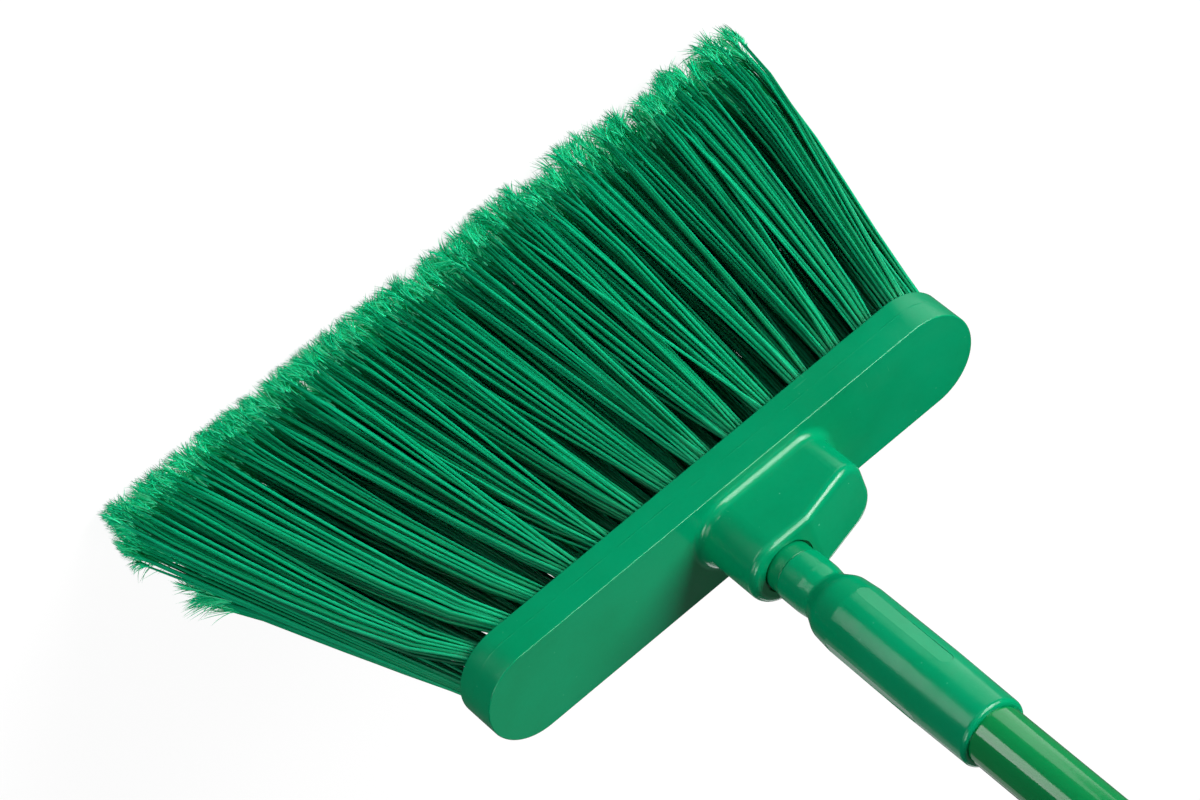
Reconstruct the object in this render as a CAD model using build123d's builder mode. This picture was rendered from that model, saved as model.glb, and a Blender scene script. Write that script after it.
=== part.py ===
"""Angle broom with a handle that screws into its block.

Millimetres, +Z up along the handle, X along the block, front towards -Y.
The origin is on the floor, under the middle of the bristle tips.
"""

import os
from math import cos, radians, sin, tan

from build123d import *

# Overall
broom_height = 1422.0

# Block, a straight bar with round ends
block_underside_z = 176.0
block_length = 246.0
block_width = 45.0
block_thickness = 19.0
block_edge_radius = 0.5
block_lower_radius = 0.8
block_x = -7.0
handle_x = -9.0

# Boss on the block, with a level face and a sloping face
boss_width = 32.0
boss_height = 32.0
boss_reach = 48.0
boss_corner_radius = 11.0
boss_edge_radius = 3.5
boss_base_radius = 4.0
slope_start = 14.5
slope_angle = 14.5
crease_radius = 8.0

# Handle thread, five turns to the inch
thread_diameter = 19.05
thread_pitch = 5.08
thread_depth = 2.0
thread_crest_width = 1.9
thread_flank_angle = 14.5
thread_turns = 3.5
thread_clearance = 0.3
thread_root_overlap = 0.4
shank_length = 22.0
shank_lead = 2.2
socket_runout = 6.0

# Collar between the boss and the neck
collar_diameter = 21.6
collar_height = 7.5
collar_edge_radius = 0.5
collar_seat_depth = 1.5
collar_seat_clearance = 1.0
journal_diameter = 19.6
journal_clearance = 0.1
journal_foot_gap = 0.5

# Handle tip, with a neck that draws in to a waist, a shoulder and a barrel-shaped sleeve
neck_diameter = 22.8
neck_edge_radius = 0.9
neck_length = 11.0
neck_bend_radius = 12.0
waist_diameter = 21.4
waist_drop = 6.0
waist_radius = 4.0
shoulder_height = 7.0
shoulder_diameter = 28.4
shoulder_radius = 9.0
sleeve_foot_diameter = 30.3
sleeve_foot_rise = 17.0
sleeve_belly_diameter = 30.8
sleeve_belly_rise = 62.0
sleeve_mouth_diameter = 30.0
sleeve_belly_radius = 200.0
sleeve_length = 97.5
sleeve_lip_radius = 2.0
tip_core_diameter = 8.0
tip_core_floor = 4.0
flute_count = 3
flute_length = 53.0
flute_width = 6.4
flute_depth = 0.3
flute_start = 16.0
flute_angle = 3.0

# Tube, with a coat that stops just above the sleeve
tube_diameter = 25.4
tube_coat = 0.3
tube_coat_gap = 1.0
tube_wall = 0.9
tube_insert = 78.0
tube_clearance = 0.05

# Hang cap in the top of the tube
cap_diameter = 25.0
cap_height = 30.0
cap_collar_height = 6.0
cap_tab_thickness = 10.0
cap_top_radius = 9.0
cap_plug_length = 25.0
cap_plug_lead = 1.5
hang_hole_diameter = 9.0
hang_hole_drop = 12.0

# Tufts, in three staggered rows
row_spacing = 13.0
tuft_end_margin = 7.5
middle_row_tufts = 15
outer_row_tufts = 14
tuft_diameter = 8.4
tuft_hole_depth = 12.7
tuft_clearance = 0.05
tuft_stub = 1.0

# Strands of each tuft, which open out to a fan with a slanted trim
fan_spread = 83.0
fan_depth = 41.0
trim_angle = 2.5
floor_flat = 0.5
strand_width = 1.6
strand_embed = 4.0
strand_step_x = 1.9
strand_step_y = 2.1
strand_rows = (3, 4, 3)

# Flat wire staple across each tuft
anchor_bite = 1.0
anchor_thickness = 0.5
anchor_height = 2.2
anchor_floor = 1.2

# Levels and places that follow from the sizes above
block_top_z = block_underside_z + block_thickness
boss_top_z = block_top_z + boss_height
collar_floor_z = boss_top_z - collar_seat_depth
collar_top_z = collar_floor_z + collar_height
waist_z = collar_top_z + neck_length + waist_drop
sleeve_end_z = waist_z + sleeve_length
tube_foot_z = sleeve_end_z - tube_insert
tube_coat_z = sleeve_end_z + tube_coat_gap
tube_top_z = broom_height - cap_height
bare_tube_radius = tube_diameter / 2 - tube_coat
tube_bore_radius = tube_diameter / 2 - tube_wall
shank_foot_z = boss_top_z - shank_length
socket_floor_z = shank_foot_z - socket_runout
ridge_start_z = shank_foot_z + shank_lead
groove_start_z = ridge_start_z - thread_pitch
groove_end_z = boss_top_z + thread_pitch
thread_core_diameter = thread_diameter - 2 * thread_depth
fan_width = block_length + fan_spread
handle_axis = Axis((handle_x, 0, 0), (0, 0, 1))


def side_plane(height):
    """Upright plane through the handle's axis, seen from the front."""
    return Plane(origin=(handle_x, 0, height), x_dir=(1, 0, 0), z_dir=(0, -1, 0))


def level_plane(height):
    """Level plane, centred on the handle's axis."""
    return Plane(origin=(handle_x, 0, height))


def block_plane(height):
    """Level plane, centred on the block."""
    return Plane(origin=(block_x, 0, height))


def thread_ridge(start_z, turns, clearance):
    """Helical ridge of the handle thread, grown on every side by the clearance."""
    crest = thread_diameter / 2 + clearance
    foot = thread_core_diameter / 2 - thread_root_overlap
    half_crest = thread_crest_width / 2 + clearance
    half_foot = half_crest + (crest - foot) * tan(radians(thread_flank_angle))
    with BuildPart() as ridge:
        with BuildLine() as path:
            Helix(thread_pitch, thread_pitch * turns, crest, center=(handle_x, 0, start_z))
        with BuildSketch(side_plane(start_z)):
            Polygon(
                (foot, -half_foot),
                (crest, -half_crest),
                (crest, half_crest),
                (foot, half_foot),
                align=None,
            )
        sweep(path=path.line, is_frenet=True)
    return ridge.part


# Tuft places: where each leaves the block and where its tips are trimmed
tuft_rows = {"front": outer_row_tufts, "middle": middle_row_tufts, "back": outer_row_tufts}
tuft_pitch = (block_length - 2 * tuft_end_margin) / (middle_row_tufts - 1)
tip_pitch = (fan_width - strand_width) / (middle_row_tufts - 1 / max(strand_rows))
tip_row_spacing = (fan_depth - strand_width) / (len(tuft_rows) - 1 / len(strand_rows))
trim_slope = tan(radians(trim_angle))
trim_x_dir = (cos(radians(trim_angle)), 0, -sin(radians(trim_angle)))
trim_normal = (sin(radians(trim_angle)), 0, cos(radians(trim_angle)))


def trim_point(x, y):
    """Point of the trimmed tip plane, which dips under the floor at the fan's +X end."""
    return Vector(x, y, (fan_width / 2 - x) * trim_slope - floor_flat)


def tuft_plane(root, tip):
    """Plane at a tuft's root on the block's underside, facing along the tuft."""
    along = (tip - root).normalized()
    across = Vector(1, 0, 0) - along * along.X
    return Plane(origin=root, x_dir=across.normalized(), z_dir=along)


tufts = {}
for row, (row_name, count) in enumerate(tuft_rows.items()):
    row_place = row - (len(tuft_rows) - 1) / 2
    for index in range(count):
        place = index - (count - 1) / 2
        root = Vector(
            block_x + place * tuft_pitch, row_place * row_spacing, block_underside_z
        )
        tip = trim_point(place * tip_pitch, row_place * tip_row_spacing)
        tufts[f"tuft_{row_name}_{index + 1:02d}"] = (root, tip)

tuft_planes = [tuft_plane(root, tip) for root, tip in tufts.values()]
anchor_drop = tuft_hole_depth - anchor_floor - anchor_height / 2
anchor_planes = [plane.offset(-anchor_drop) for plane in tuft_planes]
anchor_length = tuft_diameter + 2 * anchor_bite

shank_ridge = thread_ridge(ridge_start_z, thread_turns, 0)
groove_turns = (groove_end_z - groove_start_z) / thread_pitch
socket_groove = thread_ridge(groove_start_z, groove_turns, thread_clearance)

# Shape of the threaded socket, from its floor to above the boss
with BuildPart() as socket:
    with BuildSketch(level_plane(socket_floor_z)):
        Circle(thread_core_diameter / 2 + thread_clearance)
    extrude(amount=groove_end_z + thread_pitch - socket_floor_z)
    add(socket_groove)

# Block with its boss, its threaded socket and its tuft holes
with BuildPart() as broom_block:
    with BuildSketch(block_plane(block_underside_z)):
        SlotOverall(block_length, block_width)
    extrude(amount=block_thickness)
    fillet(broom_block.faces().sort_by(Axis.Z)[-1].edges(), block_edge_radius)
    fillet(broom_block.faces().sort_by(Axis.Z)[0].edges(), block_lower_radius)
    with BuildSketch(block_plane(block_top_z)) as boss_plan:
        Rectangle(boss_reach, boss_width, align=(Align.MAX, Align.CENTER))
        fillet(boss_plan.vertices().group_by(Axis.X)[0], boss_corner_radius)
        Circle(boss_width / 2)
    extrude(amount=boss_height)
    slope_run = 2 * boss_reach
    with BuildSketch(side_plane(boss_top_z)):
        Polygon(
            (-slope_start, 0),
            (-slope_start - slope_run, 0),
            (-slope_start - slope_run, -slope_run * tan(radians(slope_angle))),
            align=None,
        )
    extrude(amount=boss_width, both=True, mode=Mode.SUBTRACT)
    crease = broom_block.edges().filter_by(Axis.Y).sort_by(Axis.Z)[-1]
    fillet(crease, crease_radius)
    boss_tops = [
        face
        for face in broom_block.faces()
        if face.center().Z > block_top_z and face.normal_at().Z > sin(radians(slope_angle))
    ]
    top_edges = [edge for face in boss_tops for edge in face.edges()]
    fillet([edge for edge in top_edges if top_edges.count(edge) == 1], boss_edge_radius)
    deck = broom_block.faces().filter_by_position(Axis.Z, block_top_z, block_top_z)[0]
    fillet(deck.inner_wires()[0].edges(), boss_base_radius)
    with Locations(level_plane(boss_top_z)):
        Hole(collar_diameter / 2 + collar_seat_clearance, depth=collar_seat_depth)
    add(socket.part, mode=Mode.SUBTRACT)
    with Locations([plane.offset(tuft_diameter) for plane in tuft_planes]):
        Hole(tuft_diameter / 2, depth=tuft_hole_depth + tuft_diameter)
    with Locations(anchor_planes):
        Box(anchor_length, anchor_thickness, anchor_height, mode=Mode.SUBTRACT)
broom_block.part.label = "broom_block"

# Collar, a ring that turns on the tip's journal
with BuildPart() as tip_collar:
    with BuildSketch(level_plane(collar_floor_z)):
        Circle(collar_diameter / 2)
        Circle(journal_diameter / 2 + journal_clearance, mode=Mode.SUBTRACT)
    extrude(amount=collar_height)
    rims = tip_collar.edges().filter_by(GeomType.CIRCLE)
    fillet(rims.sort_by(SortBy.RADIUS)[-2:], collar_edge_radius)
tip_collar.part.label = "tip_collar"

# Handle tip, turned about the handle's axis
with BuildPart() as handle_tip:
    with BuildSketch(side_plane(0)):
        with BuildLine():
            outline = FilletPolyline(
                (journal_diameter / 2, collar_top_z),
                (neck_diameter / 2, collar_top_z),
                (neck_diameter / 2, collar_top_z + neck_length),
                (waist_diameter / 2, waist_z),
                (shoulder_diameter / 2, waist_z + shoulder_height),
                (sleeve_foot_diameter / 2, waist_z + sleeve_foot_rise),
                (sleeve_belly_diameter / 2, waist_z + sleeve_belly_rise),
                (sleeve_mouth_diameter / 2, sleeve_end_z),
                (0, sleeve_end_z),
                radius=[
                    neck_edge_radius,
                    neck_bend_radius,
                    waist_radius,
                    shoulder_radius,
                    shoulder_radius,
                    sleeve_belly_radius,
                    sleeve_lip_radius,
                ],
            )
            Polyline(outline @ 1, (0, collar_top_z), outline @ 0)
        make_face()
    revolve(axis=handle_axis)
    with BuildSketch(level_plane(collar_top_z)):
        Circle(journal_diameter / 2)
    extrude(amount=collar_floor_z + journal_foot_gap - collar_top_z)
    with BuildSketch(level_plane(shank_foot_z)):
        Circle(thread_core_diameter / 2)
    extrude(amount=collar_top_z - shank_foot_z)
    chamfer(handle_tip.faces().sort_by(Axis.Z)[0].edges(), shank_lead / 2)
    add(shank_ridge)
    with Locations(level_plane(sleeve_end_z)):
        CounterBoreHole(
            radius=tip_core_diameter / 2,
            counter_bore_radius=bare_tube_radius + tube_clearance,
            counter_bore_depth=tube_insert,
            depth=sleeve_end_z - shank_foot_z - tip_core_floor,
        )
    flute_floor = sleeve_foot_diameter / 2 - flute_depth
    flute_middle_z = waist_z + flute_start + flute_length / 2
    for turn in range(flute_count):
        heading = radians(flute_angle + turn * 360 / flute_count)
        outward = Vector(cos(heading), sin(heading), 0)
        flute_origin = Vector(handle_x, 0, flute_middle_z) + outward * flute_floor
        with BuildSketch(Plane(origin=flute_origin, x_dir=(0, 0, 1), z_dir=outward)):
            SlotOverall(flute_length, flute_width)
        extrude(amount=flute_width, mode=Mode.SUBTRACT)
handle_tip.part.label = "handle_tip"

# Tube, bare where it sits in the sleeve
with BuildPart() as handle_tube:
    with BuildSketch(level_plane(tube_foot_z)):
        Circle(bare_tube_radius)
        Circle(tube_bore_radius, mode=Mode.SUBTRACT)
    extrude(amount=tube_top_z - tube_foot_z)
    with BuildSketch(level_plane(tube_coat_z)):
        Circle(tube_diameter / 2)
        Circle(tube_bore_radius, mode=Mode.SUBTRACT)
    extrude(amount=tube_top_z - tube_coat_z)
handle_tube.part.label = "handle_tube"

# Hang cap: a plug in the tube, a round foot on its end and a flat tab with the hole
with BuildPart() as hang_cap:
    with BuildSketch(level_plane(tube_top_z)):
        Circle(cap_diameter / 2)
    extrude(amount=cap_height)
    fillet(hang_cap.faces().sort_by(Axis.Z)[-1].edges(), cap_top_radius)
    tab_height = cap_height - cap_collar_height
    with BuildSketch(level_plane(tube_top_z + cap_collar_height)):
        Rectangle(2 * cap_diameter, 2 * cap_diameter)
        Rectangle(2 * cap_diameter, cap_tab_thickness, mode=Mode.SUBTRACT)
    extrude(amount=tab_height, mode=Mode.SUBTRACT)
    with BuildSketch(side_plane(broom_height - hang_hole_drop)):
        Circle(hang_hole_diameter / 2)
    extrude(amount=cap_diameter, both=True, mode=Mode.SUBTRACT)
    with BuildSketch(level_plane(tube_top_z)):
        Circle(tube_bore_radius - tube_clearance)
    extrude(amount=-cap_plug_length)
    chamfer(hang_cap.faces().sort_by(Axis.Z)[0].edges(), cap_plug_lead)
hang_cap.part.label = "hang_cap"

# Staples that hold the tufts
with BuildPart() as tuft_anchors:
    with Locations(anchor_planes):
        Box(anchor_length, anchor_thickness, anchor_height)
tuft_anchors.part.label = "tuft_anchors"

os.makedirs("parts", exist_ok=True)
for piece in (broom_block, tip_collar, handle_tip, handle_tube, hang_cap, tuft_anchors):
    export_step(piece.part, f"parts/{piece.part.label}.step")


def strand(root, tip):
    """One straight four-sided strand, from the trimmed tip to inside its tuft's root."""
    along = root - tip
    with BuildPart() as bristle:
        with BuildSketch(Plane(origin=tip, x_dir=trim_x_dir, z_dir=trim_normal)):
            Rectangle(strand_width, strand_width)
        extrude(amount=along.length + strand_embed, dir=along.normalized())
    return bristle.part


# Tufts: a root plug in its hole with strands that spread to an even grid at the floor
for (name, (root, tip)), plane, anchor in zip(tufts.items(), tuft_planes, anchor_planes):
    strands = []
    for line, in_line in enumerate(strand_rows):
        y_steps = line - (len(strand_rows) - 1) / 2
        for column in range(in_line):
            x_steps = column - (in_line - 1) / 2
            tip_x = tip.X + x_steps * tip_pitch / max(strand_rows)
            tip_y = tip.Y + y_steps * tip_row_spacing / len(strand_rows)
            strand_root = root + Vector(x_steps * strand_step_x, y_steps * strand_step_y, 0)
            strands.append(strand(strand_root, trim_point(tip_x, tip_y)))
    with BuildPart() as tuft:
        with BuildSketch(plane.offset(-tuft_hole_depth + tuft_clearance)):
            Circle(tuft_diameter / 2 - tuft_clearance)
        extrude(amount=tuft_hole_depth - tuft_clearance + tuft_stub)
        add(strands)
        with Locations(anchor):
            Box(anchor_length, anchor_thickness, anchor_height, mode=Mode.SUBTRACT)
        split(bisect_by=Plane.XY, keep=Keep.TOP)
    tuft.part.label = name
    export_step(tuft.part, f"parts/{name}.step")
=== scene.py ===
"""Angle broom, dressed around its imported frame.

Metres, +Z up along the handle, X along the block, front towards -Y.
The tufts become bundles of flagged filaments. The block, the handle and their
fittings keep their solids and get moulded, painted and drawn finishes.
"""

import logging
import math
from dataclasses import dataclass
from enum import Enum
from typing import ClassVar, Dict, List, Optional, Tuple

import bpy
import numpy as np
from mathutils import Matrix, Quaternion, Vector


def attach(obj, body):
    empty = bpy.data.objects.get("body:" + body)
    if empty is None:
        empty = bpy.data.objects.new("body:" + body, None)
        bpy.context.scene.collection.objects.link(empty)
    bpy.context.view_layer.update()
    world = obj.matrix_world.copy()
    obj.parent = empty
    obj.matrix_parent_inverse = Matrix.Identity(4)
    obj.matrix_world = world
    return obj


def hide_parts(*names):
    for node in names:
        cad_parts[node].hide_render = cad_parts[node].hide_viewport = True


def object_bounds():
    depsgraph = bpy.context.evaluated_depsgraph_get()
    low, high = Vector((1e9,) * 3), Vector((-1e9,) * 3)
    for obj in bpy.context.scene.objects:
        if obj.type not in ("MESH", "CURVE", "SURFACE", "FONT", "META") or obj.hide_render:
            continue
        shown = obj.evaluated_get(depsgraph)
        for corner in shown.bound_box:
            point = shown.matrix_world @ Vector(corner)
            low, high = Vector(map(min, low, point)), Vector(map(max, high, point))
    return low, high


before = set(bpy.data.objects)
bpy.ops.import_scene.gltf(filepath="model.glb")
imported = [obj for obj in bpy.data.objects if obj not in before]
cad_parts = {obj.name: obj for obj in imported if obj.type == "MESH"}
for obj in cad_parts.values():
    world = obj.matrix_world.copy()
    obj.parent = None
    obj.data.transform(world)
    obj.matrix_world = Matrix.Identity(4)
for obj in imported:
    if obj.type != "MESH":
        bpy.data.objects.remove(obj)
cad_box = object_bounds()
box_low, box_high = (np.array(corner) for corner in cad_box)

log = logging.getLogger("angle_broom")

Colour = Tuple[float, float, float, float]
Point = Tuple[float, float, float]
Pair = Tuple[float, float]
Socket = bpy.types.NodeSocket

BLACK: Colour = (0.0, 0.0, 0.0, 1.0)
WHITE: Colour = (1.0, 1.0, 1.0, 1.0)
TINY = 1e-7


def paint(red: int, green: int, blue: int) -> Colour:
    """Turns a colour as a screen shows it into the linear light that nodes take.

    Args:
        red: Red, 0 to 255.
        green: Green, 0 to 255.
        blue: Blue, 0 to 255.

    Returns:
        Linear red, green and blue, with an alpha of one.
    """
    levels = [value / 255 for value in (red, green, blue)]
    light = [v / 12.92 if v <= 0.04045 else ((v + 0.055) / 1.055) ** 2.4 for v in levels]
    return (light[0], light[1], light[2], 1.0)


class NodeSheet:
    """Adds nodes to one tree and joins them."""

    def __init__(self, tree: bpy.types.NodeTree) -> None:
        """Keeps the tree that the nodes go into."""
        self.tree = tree

    def add(self, kind: str, **settings: object) -> bpy.types.Node:
        """Adds a node.

        Args:
            kind: The node's type name.
            **settings: Values for the node's own properties.

        Returns:
            The new node.
        """
        node = self.tree.nodes.new(kind)
        for name, value in settings.items():
            setattr(node, name, value)
        return node

    def feed(self, socket: Socket, source: object) -> None:
        """Joins a socket to another, or sets it to a plain value.

        Args:
            socket: The input to feed.
            source: An output socket, or a number, colour or vector.
        """
        if isinstance(source, Socket):
            self.tree.links.new(source, socket)
        else:
            socket.default_value = source

    def feed_all(self, node: bpy.types.Node, sources: Dict[str, object]) -> None:
        """Feeds several inputs of a node.

        Args:
            node: The node to feed.
            sources: A socket or plain value for each input's name.
        """
        for name, source in sources.items():
            self.feed(node.inputs[name], source)

    def sum(self, kind: str, first: object, second: object = 0.0) -> Socket:
        """Adds a Math node.

        Args:
            kind: The sum to do, such as ADD.
            first: Its first value or socket.
            second: Its second value or socket.

        Returns:
            The result's socket.
        """
        node = self.add("ShaderNodeMath", operation=kind)
        self.feed(node.inputs[0], first)
        self.feed(node.inputs[1], second)
        return node.outputs[0]

    def times(self, first: object, second: object) -> Socket:
        """Multiplies two values or sockets."""
        return self.sum("MULTIPLY", first, second)

    def reach(
        self, value: object, low: object, high: object, start: float = 0.0, end: float = 1.0
    ) -> Socket:
        """Takes a value from one range to another, with smooth ends.

        Args:
            value: The socket to read.
            low: The value that gives start.
            high: The value that gives end.
            start: The result at low.
            end: The result at high.

        Returns:
            The result's socket.
        """
        node = self.add("ShaderNodeMapRange", interpolation_type="SMOOTHSTEP")
        names = ("Value", "From Min", "From Max", "To Min", "To Max")
        self.feed_all(node, dict(zip(names, (value, low, high, start, end))))
        return node.outputs["Result"]

    def blend(self, share: object, first: object, second: object) -> Socket:
        """Mixes two colours.

        Args:
            share: How much of the second shows.
            first: The first colour or socket.
            second: The second colour or socket.

        Returns:
            The mixed colour's socket.
        """
        node = self.add("ShaderNodeMix", data_type="RGBA")
        self.feed(node.inputs[0], share)
        self.feed(node.inputs[6], first)
        self.feed(node.inputs[7], second)
        return node.outputs[2]

    def axes(self, place: object) -> Tuple[Socket, ...]:
        """Splits coordinates into X, Y and Z.

        Args:
            place: The coordinates.

        Returns:
            The three sockets.
        """
        node = self.add("ShaderNodeSeparateXYZ")
        self.feed(node.inputs[0], place)
        return tuple(node.outputs)

    def stretch(self, place: object, scale: Point, turn: Point) -> Socket:
        """Scales and turns a pattern's coordinates.

        Args:
            place: The coordinates to start from.
            scale: The scale along each axis.
            turn: The turn about each axis, in radians.

        Returns:
            The new coordinates' socket.
        """
        node = self.add("ShaderNodeMapping")
        self.feed_all(node, {"Vector": place, "Scale": scale, "Rotation": turn})
        return node.outputs["Vector"]

    def noise(self, place: object, scale: object, detail: float = 3.0, rough: float = 0.5) -> Socket:
        """Adds a noise pattern.

        Args:
            place: Its coordinates.
            scale: How many features there are to a unit of the coordinates.
            detail: How many finer layers it has.
            rough: How strong the finer layers are.

        Returns:
            The pattern's value, about one half on average.
        """
        node = self.add("ShaderNodeTexNoise")
        names = ("Vector", "Scale", "Detail", "Roughness")
        self.feed_all(node, dict(zip(names, (place, scale, detail, rough))))
        return node.outputs["Fac"]


class Effect(Enum):
    """Surface effects that the finishes share."""

    MOTTLE = "mottle"
    SCUFFS = "scuffs"
    SPECKS = "specks"
    MOULD_SKIN = "mould_skin"
    LEVEL_LINE = "level_line"
    STREAKS = "streaks"


class EffectShelf:
    """Builds each effect's node group once, keeps it and places it in materials."""

    def __init__(self) -> None:
        """Starts with an empty shelf."""
        self.trees: Dict[Effect, bpy.types.NodeTree] = {}

    def take(self, effect: Effect) -> bpy.types.NodeTree:
        """Gives an effect's group, building it at its first use.

        Args:
            effect: The effect to take.

        Returns:
            The group's tree.
        """
        if effect not in self.trees:
            makers = {
                Effect.MOTTLE: self.mottle,
                Effect.SCUFFS: self.scuffs,
                Effect.SPECKS: self.specks,
                Effect.MOULD_SKIN: self.mould_skin,
                Effect.LEVEL_LINE: self.level_line,
                Effect.STREAKS: self.streaks,
            }
            self.trees[effect] = makers[effect]()
        return self.trees[effect]

    def use(self, sheet: NodeSheet, effect: Effect, place: object, **inputs: object) -> Socket:
        """Places an effect in a material.

        Args:
            sheet: The material's sheet.
            effect: The effect to place.
            place: The coordinates that it reads.
            **inputs: Values or sockets for its other inputs, by name.

        Returns:
            The effect's result.
        """
        node = sheet.add("ShaderNodeGroup", node_tree=self.take(effect))
        sheet.feed_all(node, {"Vector": place, **inputs})
        return node.outputs[0]

    def blank(
        self, effect: Effect, numbers: Tuple[str, ...], output: str, colours: Tuple[str, ...] = ()
    ) -> Tuple[NodeSheet, Dict[str, Socket], Socket]:
        """Starts a group that reads coordinates, with its named sockets.

        Args:
            effect: The effect that the group is for.
            numbers: The names of its number inputs.
            output: The output's name.
            colours: The names of its colour inputs; with any, the output is a colour too.

        Returns:
            The group's sheet, its inputs by name, and the output to feed.
        """
        kinds = {"Vector": "NodeSocketVector"}
        kinds.update({label: "NodeSocketFloat" for label in numbers})
        kinds.update({label: "NodeSocketColor" for label in colours})
        result = "NodeSocketColor" if colours else "NodeSocketFloat"
        tree = bpy.data.node_groups.new(effect.value, "ShaderNodeTree")
        for label, kind in kinds.items():
            tree.interface.new_socket(label, in_out="INPUT", socket_type=kind)
        tree.interface.new_socket(output, in_out="OUTPUT", socket_type=result)
        sheet = NodeSheet(tree)
        start = sheet.add("NodeGroupInput")
        end = sheet.add("NodeGroupOutput")
        return sheet, {label: start.outputs[label] for label in kinds}, end.inputs[output]

    def mottle(self) -> bpy.types.NodeTree:
        """Two tones that drift into each other in broad clouds and fine grain.

        Returns:
            The group's tree.
        """
        sheet, given, out = self.blank(Effect.MOTTLE, ("Scale",), "Color", ("Tone", "Shade"))
        clouds = sheet.noise(given["Vector"], given["Scale"], detail=4.0, rough=0.55)
        finer = sheet.times(given["Scale"], 24.0)
        grain = sheet.noise(given["Vector"], finer, detail=2.0, rough=0.6)
        broad_share = sheet.reach(clouds, low=0.35, high=0.7, end=0.8)
        grain_share = sheet.reach(grain, low=0.4, high=0.75, end=0.2)
        share = sheet.sum("ADD", broad_share, grain_share)
        sheet.feed(out, sheet.blend(share, given["Tone"], given["Shade"]))
        return sheet.tree

    def scuffs(self) -> bpy.types.NodeTree:
        """Thin handling scratches in two directions, in patches.

        Returns:
            The group's tree.
        """
        sheet, given, out = self.blank(Effect.SCUFFS, ("Scale", "Cover"), "Mask")
        size = sheet.add("ShaderNodeVectorMath", operation="SCALE")
        sheet.feed(size.inputs[0], given["Vector"])
        sheet.feed(size.inputs["Scale"], given["Scale"])
        place = size.outputs[0]
        marks = []
        for scale, turn in (
            ((1.0, 26.0, 9.0), (0.3, 0.2, 0.5)),
            ((22.0, 1.2, 11.0), (0.1, 0.5, -0.35)),
        ):
            lines = sheet.noise(sheet.stretch(place, scale, turn), 1.0, detail=2.0, rough=0.4)
            marks.append(sheet.reach(lines, low=0.66, high=0.72))
        patches = sheet.noise(place, 0.7)
        bare_level, fade = 0.9, 0.12
        edge = sheet.sum("SUBTRACT", bare_level, given["Cover"])
        shown = sheet.reach(patches, edge, sheet.sum("ADD", edge, fade))
        sheet.feed(out, sheet.times(sheet.sum("MAXIMUM", *marks), shown))
        return sheet.tree

    def specks(self) -> bpy.types.NodeTree:
        """Scattered pinhead specks of uneven size.

        Returns:
            The group's tree.
        """
        sheet, given, out = self.blank(Effect.SPECKS, ("Scale", "Size"), "Mask")
        cells = sheet.add("ShaderNodeTexVoronoi", feature="F1")
        sheet.feed(cells.inputs["Vector"], given["Vector"])
        sheet.feed(cells.inputs["Scale"], given["Scale"])
        pick = sheet.add("ShaderNodeSeparateColor")
        sheet.feed(pick.inputs[0], cells.outputs["Color"])
        core, least_width = 0.4, 0.002
        width = sheet.times(given["Size"], sheet.reach(pick.outputs[0], low=0.6, high=1.0))
        inside = sheet.reach(cells.outputs["Distance"], width, sheet.times(width, core))
        sheet.feed(out, sheet.times(inside, sheet.sum("GREATER_THAN", width, least_width)))
        return sheet.tree

    def mould_skin(self) -> bpy.types.NodeTree:
        """Height of a moulded skin: a fine grain over slight sink and flow waves.

        Returns:
            The group's tree.
        """
        sheet, given, out = self.blank(Effect.MOULD_SKIN, ("Grain", "Waves"), "Height")
        grain = sheet.noise(given["Vector"], given["Grain"], detail=2.0)
        waves = sheet.noise(given["Vector"], given["Waves"], detail=2.0, rough=0.4)
        grain_share = 0.12
        fine = sheet.times(grain, grain_share)
        sheet.feed(out, sheet.sum("ADD", fine, sheet.times(waves, 1 - grain_share)))
        return sheet.tree

    def level_line(self) -> bpy.types.NodeTree:
        """A thin line all round a piece at one height, broken up along its way.

        Returns:
            The group's tree.
        """
        sheet, given, out = self.blank(Effect.LEVEL_LINE, ("Level", "Width"), "Mask")
        wander, core = 0.0004, 0.3
        drift = sheet.times(sheet.noise(given["Vector"], 60.0, detail=2.0), wander)
        above = sheet.sum("SUBTRACT", sheet.axes(given["Vector"])[2], given["Level"])
        away = sheet.sum("ABSOLUTE", sheet.sum("ADD", above, drift))
        line = sheet.reach(away, given["Width"], sheet.times(given["Width"], core))
        broken = sheet.reach(sheet.noise(given["Vector"], 90.0), low=0.4, high=0.62, start=0.15)
        sheet.feed(out, sheet.times(line, broken))
        return sheet.tree

    def streaks(self) -> bpy.types.NodeTree:
        """Fine streaks along Z, as drawing and wiping leave on a tube.

        Returns:
            The group's tree.
        """
        sheet, given, out = self.blank(Effect.STREAKS, ("Across", "Along"), "Value")
        place = sheet.add("ShaderNodeCombineXYZ")
        scales = (given["Across"], given["Across"], given["Along"])
        for socket, value, scale in zip(place.inputs, sheet.axes(given["Vector"]), scales):
            sheet.feed(socket, sheet.times(value, scale))
        sheet.feed(out, sheet.noise(place.outputs[0], 1.0, rough=0.55))
        return sheet.tree


def start_material(name: str) -> Tuple[bpy.types.Material, NodeSheet, bpy.types.Node, Socket]:
    """Starts a material with its shader and its Object coordinates.

    Args:
        name: The material's name.

    Returns:
        The material, its sheet, its Principled shader and the coordinates.
    """
    material = bpy.data.materials.new(name)
    material.use_nodes = True
    sheet = NodeSheet(material.node_tree)
    shader = material.node_tree.nodes["Principled BSDF"]
    place = sheet.add("ShaderNodeTexCoord").outputs["Object"]
    return material, sheet, shader, place


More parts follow.
